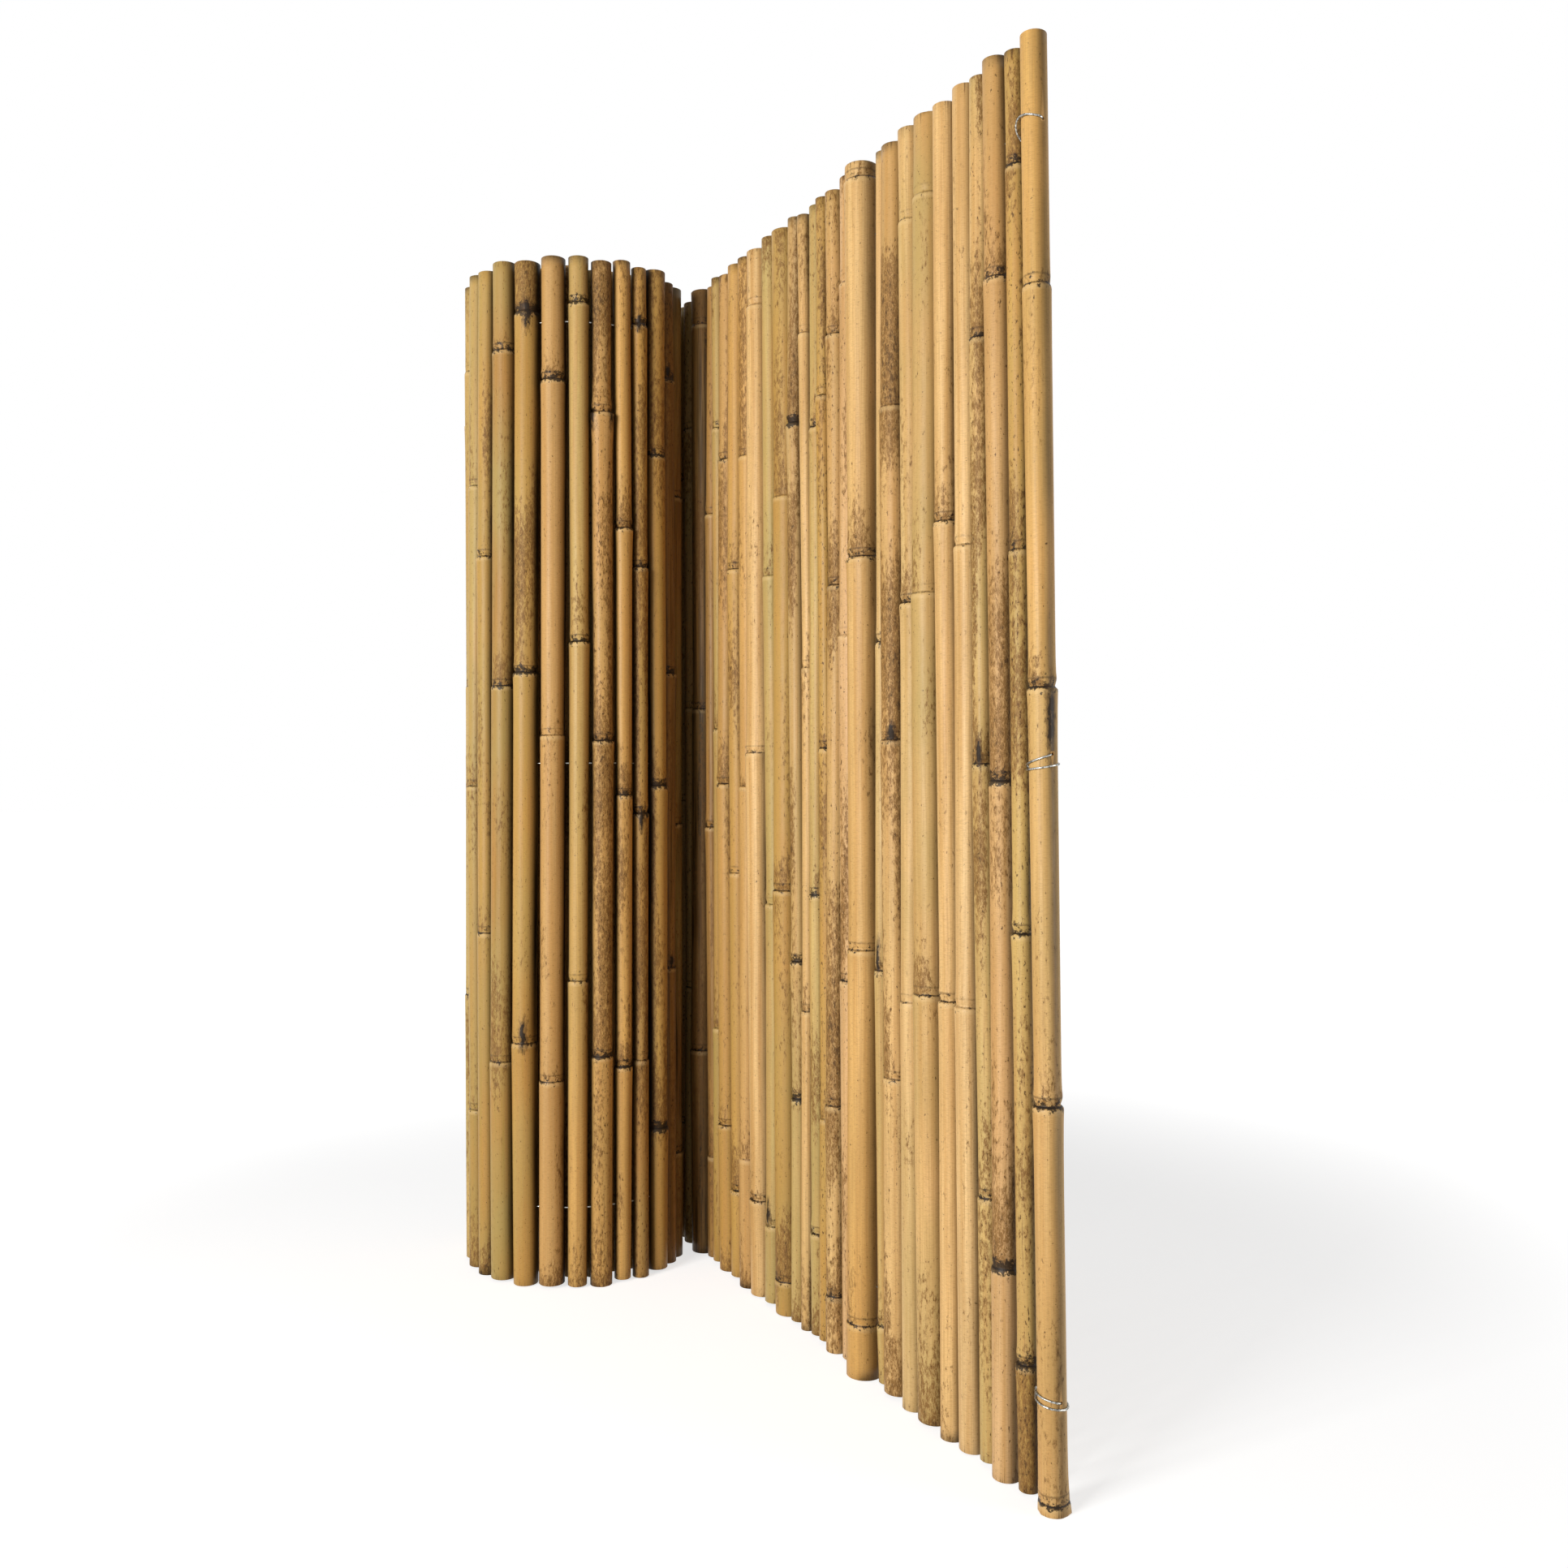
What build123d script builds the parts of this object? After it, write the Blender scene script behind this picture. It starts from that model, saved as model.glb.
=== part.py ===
"""Roll fence of whole bamboo canes, standing on end and partly unrolled.

Every cane is drilled at three heights and strung on galvanised wires that run through the whole
length of the fence. The straight sheet runs along +X to its free end, and the rest is wound up
at the -X end, turn inside turn. Canes are numbered from the free end inwards.
"""
from build123d import *
from math import cos, hypot, radians, sin
import os

# Driving dimensions, in millimetres.
cane_length = 1220
cane_gap = 0.4
cane_wall = 4.5
taper = 0.8
ring_lip = 0.9
ring_height = 3.5
play = 0.4
bow = 1.6
stagger = 1.2
sway = 1.8
splay = 18
splay_fade = 0.55
end_clear = 40
flanks = 9
inner_flanks = 8
pith_flanks = 6

wire_diameter = 1.8
wire_flanks = 4
lower_row = 92
upper_inset = 77
drill_clearance = 0.8
wire_stub = 4
tie_slack = 1.5

roll_radius = 136
turn_step = 32
start_angle = 90
straight_canes = 29
jog_start = 0.8
early_share = 0.25

# Canes that show on the sheet, from the free end inwards: diameter, then the heights of its rings.
# All ring heights below are for canes 1220 long, and move with the length.
ring_scale = cane_length / 1220
SHEET_CANES = (
    (26.5, (329, 672, 1006)),
    (22, (108, 467, 790, 1117)),
    (27, (180, 595, 1029)),
    (22, (232, 610, 985)),
    (28, (394, 806)),
    (27, (395, 832)),
    (34, (397, 770, 1142)),
    (28, (385, 765, 1130)),
    (32, (307, 635, 959)),
    (19, (58, 408, 733)),
    (38, (53, 426, 820, 1200)),
    (28, (390, 745, 1109)),
    (26, (59, 257, 800, 1063)),
    (21, (237, 630, 1005)),
    (22, (110, 473, 977)),
    (19, (345, 719, 1085)),
    (23, (246, 397, 991)),
    (35, (38, 473, 915)),
    (27, (90, 455, 830)),
    (35, (111, 628, 1149)),
    (29, (150, 589, 981)),
    (29, (105, 485, 850)),
    (28, (177, 592, 989)),
    (21, (290, 660, 1033)),
    (23, (126, 538, 930)),
    (34, (255, 687, 1175)),
)

# Canes that show on the roll, in the same order, from its left edge round to the fold.
ROLL_CANES = (
    (26, (330, 715, 1109)),
    (28, (193, 590, 960)),
    (28, (412, 869)),
    (33, (261, 710, 1113)),
    (33, (286, 725, 1154)),
    (33, (242, 650, 1071)),
    (26, (360, 761, 1163)),
    (28, (270, 644, 1035)),
    (23, (255, 579, 899)),
    (22, (260, 557, 854, 1147)),
    (29, (174, 590, 993)),
    (25, (365, 729, 1094)),
    (32, (130, 542, 953)),
)

# Canes behind and inside follow a short cycle of sizes, ring spacings and first rings.
HIDDEN_DIAMETERS = (26, 28, 24, 29, 25, 27, 23)
HIDDEN_SPACINGS = (395, 360, 420, 375, 405)
HIDDEN_FIRST_RINGS = (210, 95, 330, 150, 270, 60)
rear_canes = 14
inner_canes = 34
rear_group = 3
inner_group = 12

# Canes of the sheet that stand well forward, or back where less than 0, counted from 0.
SET_FORWARD = {9: -3.5, 10: 4}

# How far each cane stops short of the floor and of the full height.
FOOT_TRIMS = (0, 3, 1, 4, 2)
HEAD_TRIMS = (2, 5, 0, 4, 1, 6, 3)

# Ties at the free end, one list for each wire row from the floor up: angle round the end cane
# from its outer side, positive behind, then height above the drilled hole.
WIRE_TIES = (
    ((-35, -1), (-75, -3), (-115, -4), (-152, -6), (-152, -11), (-115, -12), (-75, -11), (-35, -9), (15, -8), (60, -8)),
    ((-35, -2), (-75, -5), (-115, -7), (-152, -9), (-152, -14), (-115, -14), (-75, -12), (-35, -10), (15, -8), (55, -8)),
    ((-35, 2), (-75, 5), (-115, 5), (-150, 0), (-158, -6)),
)


def hidden_cane(number):
    """Diameter and ring heights of a cane that the others cover."""
    rings = [HIDDEN_FIRST_RINGS[number % len(HIDDEN_FIRST_RINGS)]]
    spacing = HIDDEN_SPACINGS[number % len(HIDDEN_SPACINGS)]
    while (rings[-1] + spacing) * ring_scale < cane_length - end_clear:
        rings.append(rings[-1] + spacing)
    return HIDDEN_DIAMETERS[number % len(HIDDEN_DIAMETERS)], tuple(rings)


def cutting_list():
    """Diameter and rings of every cane, from the free end to the heart of the roll."""
    canes = list(SHEET_CANES)
    while len(canes) < straight_canes + rear_canes:
        canes.append(hidden_cane(len(canes)))
    canes.extend(ROLL_CANES)
    for _ in range(inner_canes):
        canes.append((hidden_cane(len(canes))[0], ()))
    return canes


def smooth(share):
    """An even start and stop between 0 and 1."""
    share = min(max(share, 0), 1)
    return share * share * (3 - 2 * share)


def on_roll(swept):
    """Point on the winding, in plan, after it has swept so many degrees from the sheet."""
    turns, part = divmod(swept / 360, 1)
    jog = early_share * part + (1 - early_share) * smooth((part - jog_start) / (1 - jog_start))
    radius = roll_radius - turn_step * (turns + jog)
    angle = radians(start_angle + swept)
    return radius * cos(angle), radius * sin(angle)


def next_on_roll(swept, reach):
    """Angle swept where the next cane centre lies, one reach further along."""
    x, y = on_roll(swept)
    low, high = swept, swept + 60
    for _ in range(40):
        middle = (low + high) / 2
        mx, my = on_roll(middle)
        if hypot(mx - x, my - y) < reach:
            low = middle
        else:
            high = middle
    return high


def layout(canes):
    """Centre of each cane in plan, and the way its wires run there, in degrees."""
    reach = [(a[0] + b[0]) / 2 + cane_gap for a, b in zip(canes, canes[1:])]
    x = sum(reach[: straight_canes - 1])
    places = []
    for step in reach[:straight_canes]:
        places.append((x, roll_radius, 0))
        x -= step
    swept = 0
    for step in reach[straight_canes - 1:]:
        swept = next_on_roll(swept, step)
        places.append((*on_roll(swept), swept))
    return places


def wander(number, z):
    """How far a cane strays at a height: along the fence towards its free end, and outwards."""
    up = z / cane_length
    hidden = straight_canes + rear_canes + len(ROLL_CANES)
    loose = max(0, min(number / 3, (hidden - number) / 3, 1))
    along = loose * sway * sin(number * 0.42 + up * 4) + splay * splay_fade ** number * (1 - up)
    out = loose * (bow * sin(number * 2.4 + up * 6) + stagger * sin(number * 1.9))
    if number >= straight_canes:
        out = abs(out)
    return along, out - SET_FORWARD.get(number, 0)


def shaft(number, place, levels, sides):
    """A straight-sided skin over polygons of the given sizes, centred where the cane strays."""
    x, y, turned = place
    ahead = Vector(cos(radians(turned)), sin(radians(turned)), 0)
    outward = Vector(cos(radians(start_angle + turned)), sin(radians(start_angle + turned)), 0)
    sections = []
    for z, size in levels:
        along, out = wander(number, z)
        centre = Vector(x, y, z) + ahead * along + outward * out
        sections.append((Location(centre, Vector(0, 0, turned)) * RegularPolygon(size, sides)).face())
    return loft(sections, ruled=True)


def cane(number, place, diameter, rings, sides):
    """One culm: it flares up to each ring, steps in above it, and is hollow from end to end."""
    radius = diameter / 2 - play
    foot = FOOT_TRIMS[number % len(FOOT_TRIMS)]
    head = cane_length - HEAD_TRIMS[number % len(HEAD_TRIMS)]
    thicker = taper / 2 * (-1) ** number
    levels = [(foot, radius - taper / 2 + thicker)]
    for ring in rings:
        z = ring * ring_scale
        levels.append((z - ring_height / 2, radius))
        levels.append((z + ring_height / 2, radius - ring_lip))
    levels.append((head, radius - taper / 2 - thicker))
    culm = shaft(number, place, levels, sides)
    bore = radius - taper - cane_wall
    return culm - shaft(number, place, [(foot, bore), (head, bore)], pith_flanks)


def row_heights():
    """Heights of the three wires."""
    upper_row = cane_length - upper_inset
    return lower_row, (lower_row + upper_row) / 2, upper_row


def drill(culm, place):
    """The three drilled holes of a cane, right through it along the sheet."""
    x, y, _ = place
    for z in row_heights():
        hole = Cylinder((wire_diameter + drill_clearance) / 2, 2 * roll_radius, rotation=(0, 90, 0))
        culm -= Pos(x, y, z) * hole
    return culm


def wire(places, canes, z, tie):
    """One wire from the heart of the roll, through every cane, and tied round the end cane."""
    path = [Vector(px, py, z) for px, py, _ in reversed(places[straight_canes - 1:])]
    path.insert(0, path[0] + (path[0] - path[1]).normalized() * (canes[-1][0] / 2 + wire_stub))
    end_cane = Vector(places[0][0] + wander(0, z)[0], places[0][1], z)
    reach = canes[0][0] / 2 + wire_diameter / 2 + tie_slack
    path.append(end_cane + Vector(reach, 0, 0))
    for angle, rise in tie:
        path.append(end_cane + Vector(reach * cos(radians(angle)), reach * sin(radians(angle)), rise))
    start = Plane(path[0], z_dir=path[1] - path[0])
    section = start * RegularPolygon(wire_diameter / 2, wire_flanks, rotation=45)
    return sweep(section, path=Polyline(*path), transition=Transition.RIGHT)


def node_name(number):
    """The node that a cane belongs to: one each where they show, groups behind and inside."""
    shown = straight_canes + rear_canes
    if number < straight_canes:
        return f"cane_{number + 1:02d}"
    if number < shown:
        return f"rear_canes_{(number - straight_canes) // rear_group + 1}"
    if number < shown + len(ROLL_CANES):
        return f"roll_cane_{number - shown + 1:02d}"
    return f"inner_canes_{(number - shown - len(ROLL_CANES)) // inner_group + 1}"


os.makedirs("parts", exist_ok=True)
fence = cutting_list()
spots = layout(fence)
nodes = {}
for index, ((size, ring_heights), spot) in enumerate(zip(fence, spots)):
    solid = cane(index, spot, size, ring_heights, flanks if ring_heights else inner_flanks)
    if index == 0:
        solid = drill(solid, spot)
    nodes.setdefault(node_name(index), []).append(solid)
for row, height, knot in zip(("lower", "middle", "upper"), row_heights(), WIRE_TIES):
    nodes[f"{row}_wire"] = [wire(spots, fence, height, knot)]
# The origin is the middle of the whole fence's footprint, on the floor.
middle = Compound([solid for solids in nodes.values() for solid in solids]).bounding_box().center()
to_origin = Pos(-middle.X, -middle.Y, 0)
for name, solids in nodes.items():
    placed = [to_origin * solid for solid in solids]
    export_step(Compound(children=placed) if len(placed) > 1 else placed[0], f"parts/{name}.step")
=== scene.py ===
"""Roll fence of bamboo canes on galvanised wires, standing on end and partly unrolled.

Lengths are in metres unless a name ends in _MM or _mm. Canes are counted from the free end inwards.
"""

import math
import random

import bmesh
import bpy
from mathutils import Matrix, Quaternion, Vector, noise


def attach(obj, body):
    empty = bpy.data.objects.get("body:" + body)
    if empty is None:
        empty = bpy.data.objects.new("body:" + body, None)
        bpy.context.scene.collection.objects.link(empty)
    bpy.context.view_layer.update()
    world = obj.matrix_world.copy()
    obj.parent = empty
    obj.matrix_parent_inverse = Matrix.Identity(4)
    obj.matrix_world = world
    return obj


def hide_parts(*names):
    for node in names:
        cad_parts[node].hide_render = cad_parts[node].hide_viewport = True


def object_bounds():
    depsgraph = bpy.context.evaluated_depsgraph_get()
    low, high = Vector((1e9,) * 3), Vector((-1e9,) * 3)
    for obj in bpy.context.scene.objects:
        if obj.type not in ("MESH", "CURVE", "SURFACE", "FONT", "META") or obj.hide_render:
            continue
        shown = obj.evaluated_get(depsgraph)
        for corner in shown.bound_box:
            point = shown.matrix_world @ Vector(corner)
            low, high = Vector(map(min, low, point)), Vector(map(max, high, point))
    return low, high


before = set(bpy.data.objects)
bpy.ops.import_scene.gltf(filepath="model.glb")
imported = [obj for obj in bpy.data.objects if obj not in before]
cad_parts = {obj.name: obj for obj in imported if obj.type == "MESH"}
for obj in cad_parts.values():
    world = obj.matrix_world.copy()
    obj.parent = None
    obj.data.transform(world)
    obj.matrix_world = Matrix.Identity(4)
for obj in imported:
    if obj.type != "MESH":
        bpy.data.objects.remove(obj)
cad_low, cad_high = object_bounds()

# Skin of the canes: bamboo culms cut green, then dried, so the waxy skin has gone straw-yellow.
# Fungus leaves brown marbling above the rings, black dashes and a sooty line in each groove. The
# real fibres are about 0.4 mm wide, too fine to show, so they are drawn at 1.3 mm.
FIBRE_MM, BAND_MM, PATCH_MM = 1.3, 6.5, 70
MARBLE_MM, LACE_MM, DASH_MM, SOOT_MM = 3.4, 2.4, 1.7, 4.4
FIBRE_STRETCH, MARBLE_STRETCH, HATCH_STRETCH = (1, 1, 0.02), (1, 1, 0.4), (0.35, 0.35, 2.5)
# How much the large patches, and each cane's own marks, add to the noise that they are mixed with.
BY_PATCH, BY_MARBLED, BY_DASHED, BY_CRACKED, BY_SPLIT, BY_SOOTY = 0.55, 0.5, 0.11, 0.07, 0.16, 0.5
SCAR_EDGE, NOISE_MIDDLE = 1.3, 0.5
HATCH_RELIEF, MARBLE_RELIEF, RELIEF = 0.4, 0.8, 0.0003
# The ring lines waver by this much, and lie this far above the ring.
WAVER_MM, GROOVE_MM, RIDGE_MM = 3.0, 2.0, 9.5
FIBRE_TINT, BAND_TINT, OLIVE_TINT = "#B28A52", "#B58344", "#A49055"
MARBLE, MARBLE_DEEP, SOOT, DASH = "#7E5A2E", "#46301A", "#1E140A", "#4F3419"
# The second colour here is the painted shade laid on the skin where canes meet.
LEDGE, GAP_SHADE_TINT = "#DDBD86", "#22160A"
# Numbers that each cane's mesh carries for its skin, one for each vertex.
MARKS = ("own", "from_ring", "marbled", "dashed", "sooty", "olive", "scar", "painted_gap_shade", "split")


def linear(hex_colour):
    """An sRGB hex colour as linear RGBA."""
    out = []
    for i in (1, 3, 5):
        c = int(hex_colour[i:i + 2], 16) / 255
        out.append(c / 12.92 if c <= 0.04045 else ((c + 0.055) / 1.055) ** 2.4)
    return (*out, 1.0)


def new_material(name):
    """An empty node material and its nodes."""
    material = bpy.data.materials.new(name)
    material.use_nodes = True
    material.node_tree.nodes.clear()
    return material, material.node_tree.nodes


def add_node(nodes, kind, inputs, out=0, **settings):
    """Adds a shader node with its settings and its values or links, and gives one of its outputs."""
    node = nodes.new("ShaderNode" + kind)
    for name, value in settings.items():
        setattr(node, name, value)
    for name, value in inputs.items():
        if isinstance(value, bpy.types.NodeSocket):
            node.id_data.links.new(value, node.inputs[name])
        else:
            node.inputs[name].default_value = value
    return node.outputs[out] if node.outputs else None


skin_material, nt = new_material("dried bamboo skin")
coords = add_node(nt, "TexCoord", {}, "Object")
skin = add_node(nt, "Attribute", {}, "Color", attribute_name="skin")
own, from_ring, marbled, dashed, sooty, olive, scar, painted_gap_shade, split = (
    add_node(nt, "Attribute", {}, "Fac", attribute_name=mark) for mark in MARKS
)
apart = add_node(nt, "CombineXYZ", {0: own, 1: own, 2: own})
place = add_node(nt, "VectorMath", {0: coords, 1: apart}, operation="ADD")
lengthways = add_node(nt, "Mapping", {"Vector": place, "Scale": FIBRE_STRETCH})
drawn_out = add_node(nt, "Mapping", {"Vector": place, "Scale": MARBLE_STRETCH})
crossways = add_node(nt, "Mapping", {"Vector": place, "Scale": HATCH_STRETCH})
fibre = add_node(nt, "TexNoise", {"Vector": lengthways, "Scale": 1000 / FIBRE_MM, "Detail": 3})
band = add_node(nt, "TexNoise", {"Vector": lengthways, "Scale": 1000 / BAND_MM, "Detail": 2})
patch = add_node(nt, "TexNoise", {"Vector": drawn_out, "Scale": 1000 / PATCH_MM, "Detail": 3})
marble = add_node(
    nt, "TexNoise", {"Vector": drawn_out, "Scale": 1000 / MARBLE_MM, "Detail": 6, "Roughness": 0.72}
)
lace = add_node(
    nt, "TexNoise", {"Vector": drawn_out, "Scale": 1000 / LACE_MM, "Detail": 3, "Distortion": 0.6}
)
dash = add_node(nt, "TexNoise", {"Vector": drawn_out, "Scale": 1000 / DASH_MM, "Detail": 2})
hatch = add_node(nt, "TexNoise", {"Vector": crossways, "Scale": 1000 / FIBRE_MM, "Detail": 2})
soot = add_node(
    nt, "TexNoise", {"Vector": place, "Scale": 1000 / SOOT_MM, "Detail": 5, "Roughness": 0.7}
)
# The dried fibres run the whole length, in wide bands and fine lines, with a faint cross hatch.
share = add_node(nt, "MapRange", {"Value": band, "From Min": 0.38, "From Max": 0.66, "To Max": 0.6})
colour = add_node(nt, "Mix", {0: share, 6: skin, 7: linear(BAND_TINT)}, 2, data_type="RGBA")
share = add_node(nt, "MapRange", {"Value": fibre, "From Min": 0.42, "From Max": 0.68, "To Max": 0.45})
colour = add_node(nt, "Mix", {0: share, 6: colour, 7: linear(FIBRE_TINT)}, 2, data_type="RGBA")
share = add_node(nt, "MapRange", {"Value": hatch, "From Min": 0.45, "From Max": 0.75, "To Max": 0.3})
colour = add_node(nt, "Mix", {0: share, 6: colour, 7: linear(MARBLE)}, 2, data_type="RGBA")
# Where the culm was cut young its skin has kept some olive.
share = add_node(nt, "MapRange", {"Value": patch, "From Min": 0.35, "From Max": 0.65})
share = add_node(nt, "Math", {0: share, 1: olive}, operation="MULTIPLY")
colour = add_node(nt, "Mix", {0: share, 6: colour, 7: linear(OLIVE_TINT)}, 2, data_type="RGBA")
# Marbling is a lace of brown veins that closes up where there is most of it.
uneven = add_node(nt, "Math", {0: patch, 1: BY_PATCH, 2: marble}, operation="MULTIPLY_ADD")
uneven = add_node(nt, "Math", {0: marbled, 1: BY_MARBLED, 2: uneven}, operation="MULTIPLY_ADD")
cover = add_node(
    nt, "MapRange", {"Value": uneven, "From Min": 0.92, "From Max": 1.07},
    interpolation_type="SMOOTHSTEP",
)
vein = add_node(nt, "Math", {0: lace, 1: NOISE_MIDDLE}, operation="SUBTRACT")
vein = add_node(nt, "Math", {0: vein}, operation="ABSOLUTE")
vein = add_node(nt, "MapRange", {"Value": vein, "From Max": 0.06, "To Min": 0.3, "To Max": 0.95})
share = add_node(nt, "Math", {0: cover, 1: vein}, operation="MULTIPLY")
colour = add_node(nt, "Mix", {0: share, 6: colour, 7: linear(MARBLE)}, 2, data_type="RGBA")
share = add_node(
    nt, "MapRange", {"Value": uneven, "From Min": 1.13, "From Max": 1.26, "To Max": 0.75},
    interpolation_type="SMOOTHSTEP",
)
colour = add_node(nt, "Mix", {0: share, 6: colour, 7: linear(MARBLE_DEEP)}, 2, data_type="RGBA")
# Small black dashes, and hairline cracks that open towards the sawn ends.
flecks = add_node(nt, "Math", {0: dashed, 1: BY_DASHED, 2: dash}, operation="MULTIPLY_ADD")
share = add_node(nt, "MapRange", {"Value": flecks, "From Min": 0.73, "From Max": 0.78, "To Max": 0.85})
colour = add_node(nt, "Mix", {0: share, 6: colour, 7: linear(DASH)}, 2, data_type="RGBA")
cracks = add_node(nt, "Math", {0: dashed, 1: BY_CRACKED, 2: fibre}, operation="MULTIPLY_ADD")
cracks = add_node(nt, "Math", {0: split, 1: BY_SPLIT, 2: cracks}, operation="MULTIPLY_ADD")
share = add_node(nt, "MapRange", {"Value": cracks, "From Min": 0.75, "From Max": 0.8, "To Max": 0.6})
colour = add_node(nt, "Mix", {0: share, 6: colour, 7: linear(DASH)}, 2, data_type="RGBA")
# The ring: a pale ledge, a sooty line in the groove above it and a fainter one on the low ridge,
# all wavering a little, then scattered soot just above and below.
wavy = add_node(nt, "Math", {0: marble, 1: WAVER_MM, 2: from_ring}, operation="MULTIPLY_ADD")
ledge_low = add_node(nt, "MapRange", {"Value": wavy, "From Min": -5, "From Max": -2, "To Max": 0.3})
ledge_top = add_node(nt, "MapRange", {"Value": wavy, "From Min": 1.2, "From Max": 0.2})
share = add_node(nt, "Math", {0: ledge_low, 1: ledge_top}, operation="MULTIPLY")
colour = add_node(nt, "Mix", {0: share, 6: colour, 7: linear(LEDGE)}, 2, data_type="RGBA")
off_line = add_node(nt, "Math", {0: wavy, 1: GROOVE_MM}, operation="SUBTRACT")
off_line = add_node(nt, "Math", {0: off_line}, operation="ABSOLUTE")
line = add_node(nt, "MapRange", {"Value": off_line, "From Min": 1.1, "From Max": 0.4})
broken = add_node(nt, "Math", {0: sooty, 1: BY_SOOTY, 2: soot}, operation="MULTIPLY_ADD")
broken = add_node(nt, "MapRange", {"Value": broken, "From Min": 0.55, "From Max": 0.8, "To Min": 0.15})
share = add_node(nt, "Math", {0: line, 1: broken}, operation="MULTIPLY")
colour = add_node(nt, "Mix", {0: share, 6: colour, 7: linear(SOOT)}, 2, data_type="RGBA")
off_ridge = add_node(nt, "Math", {0: wavy, 1: RIDGE_MM}, operation="SUBTRACT")
off_ridge = add_node(nt, "Math", {0: off_ridge}, operation="ABSOLUTE")
line = add_node(nt, "MapRange", {"Value": off_ridge, "From Min": 1.4, "From Max": 0.3, "To Max": 0.55})
share = add_node(nt, "Math", {0: line, 1: broken}, operation="MULTIPLY")
colour = add_node(nt, "Mix", {0: share, 6: colour, 7: linear(MARBLE_DEEP)}, 2, data_type="RGBA")
above = add_node(nt, "MapRange", {"Value": wavy, "From Min": 18, "From Max": 3, "To Max": 0.27})
below = add_node(nt, "MapRange", {"Value": wavy, "From Min": -7, "From Max": 1})
near = add_node(nt, "Math", {0: above, 1: below}, operation="MULTIPLY")
near = add_node(nt, "Math", {0: near, 1: sooty, 2: soot}, operation="MULTIPLY_ADD")
share = add_node(nt, "MapRange", {"Value": near, "From Min": 0.66, "From Max": 0.72, "To Max": 0.92})
colour = add_node(nt, "Mix", {0: share, 6: colour, 7: linear(SOOT)}, 2, data_type="RGBA")
# Scars of trimmed branches are brown at their ragged edge and black inside.
ragged = add_node(nt, "Math", {0: marble, 1: SCAR_EDGE, 2: scar}, operation="MULTIPLY_ADD")
share = add_node(nt, "MapRange", {"Value": ragged, "From Min": 0.78, "From Max": 0.95, "To Max": 0.6})
colour = add_node(nt, "Mix", {0: share, 6: colour, 7: linear(MARBLE_DEEP)}, 2, data_type="RGBA")
share = add_node(nt, "MapRange", {"Value": ragged, "From Min": 1.05, "From Max": 1.15, "To Max": 0.95})
colour = add_node(nt, "Mix", {0: share, 6: colour, 7: linear(SOOT)}, 2, data_type="RGBA")
# Painted shade: the skin is darkened unevenly where a cane meets its neighbours, standing in for the
# shade in the gaps between canes.
patchy_shade = add_node(
    nt, "MapRange", {"Value": patch, "From Min": 0.3, "From Max": 0.7, "To Min": 0.6, "To Max": 1.1}
)
share = add_node(nt, "Math", {0: patchy_shade, 1: painted_gap_shade}, operation="MULTIPLY", use_clamp=True)
colour = add_node(nt, "Mix", {0: share, 6: colour, 7: linear(GAP_SHADE_TINT)}, 2, data_type="RGBA")
# The clean skin has a soft waxy gloss, and the marbled skin is duller.
rough = add_node(
    nt, "MapRange", {"Value": uneven, "From Min": 0.8, "From Max": 1.2, "To Min": 0.4, "To Max": 0.62}
)
relief = add_node(nt, "Math", {0: hatch, 1: HATCH_RELIEF, 2: fibre}, operation="MULTIPLY_ADD")
relief = add_node(nt, "Math", {0: marble, 1: MARBLE_RELIEF, 2: relief}, operation="MULTIPLY_ADD")
bump = add_node(nt, "Bump", {"Strength": 0.5, "Distance": RELIEF, "Height": relief})
surface = add_node(
    nt, "BsdfPrincipled",
    {"Base Color": colour, "Roughness": rough, "Normal": bump, "IOR": 1.5, "Specular IOR Level": 0.18},
)
add_node(nt, "OutputMaterial", {"Surface": surface})

# Sawn ends and hollows: the cut wall shows the ends of the culm's tubes as fine dark dots, and
# the hollow behind it is dry and papery, closed by the wall of the next ring.
TUBE_MM, TUBE = 0.9, "#7A5A33"
end_material, nt = new_material("sawn bamboo end")
coords = add_node(nt, "TexCoord", {}, "Object")
skin = add_node(nt, "Attribute", {}, "Color", attribute_name="skin")
tubes = add_node(nt, "TexVoronoi", {"Vector": coords, "Scale": 1000 / TUBE_MM}, "Distance")
share = add_node(nt, "MapRange", {"Value": tubes, "From Min": 0.4, "From Max": 0.15, "To Max": 0.5})
colour = add_node(nt, "Mix", {0: share, 6: skin, 7: linear(TUBE)}, 2, data_type="RGBA")
surface = add_node(nt, "BsdfPrincipled", {"Base Color": colour, "Roughness": 0.78})
add_node(nt, "OutputMaterial", {"Surface": surface})

# The canes: whole culms, drilled and sawn to length with the skin left on. Each is a row of hollow
# internodes, and a ring is a ledge where a leaf sheath was, with a groove and a low ridge above.
MM = 0.001
# Height above the ring and how far the skin stands out there, both in mm, on a ring of boldness 1.
RING_SHAPE_MM = (
    (-70, 0), (-34, 0.1), (-16, 0.25), (-7, 0.4), (-3, 0.5), (-1.2, 0.5), (-0.2, 0.2), (0.8, -0.35),
    (1.8, -0.5), (3, -0.3), (5, 0.1), (7.5, 0.4), (9.5, 0.4), (13, 0.2), (22, 0.05), (40, 0), (70, 0),
)
# A ring's boldness is drawn from the faintest upwards, and most are near the faintest.
FAINTEST, BOLDER, MOSTLY_FAINT = 0.3, 2, 1.6
# Rows of vertices, with a close pair halfway between rings, where the nearest ring changes.
ROW_SPACING, HAIR = 36 * MM, 0.02 * MM
CANE_STEPS, INNER_STEPS = 28, 16
SKIN_INSET, OUT_OF_ROUND = 0.5 * MM, 0.03
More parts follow.
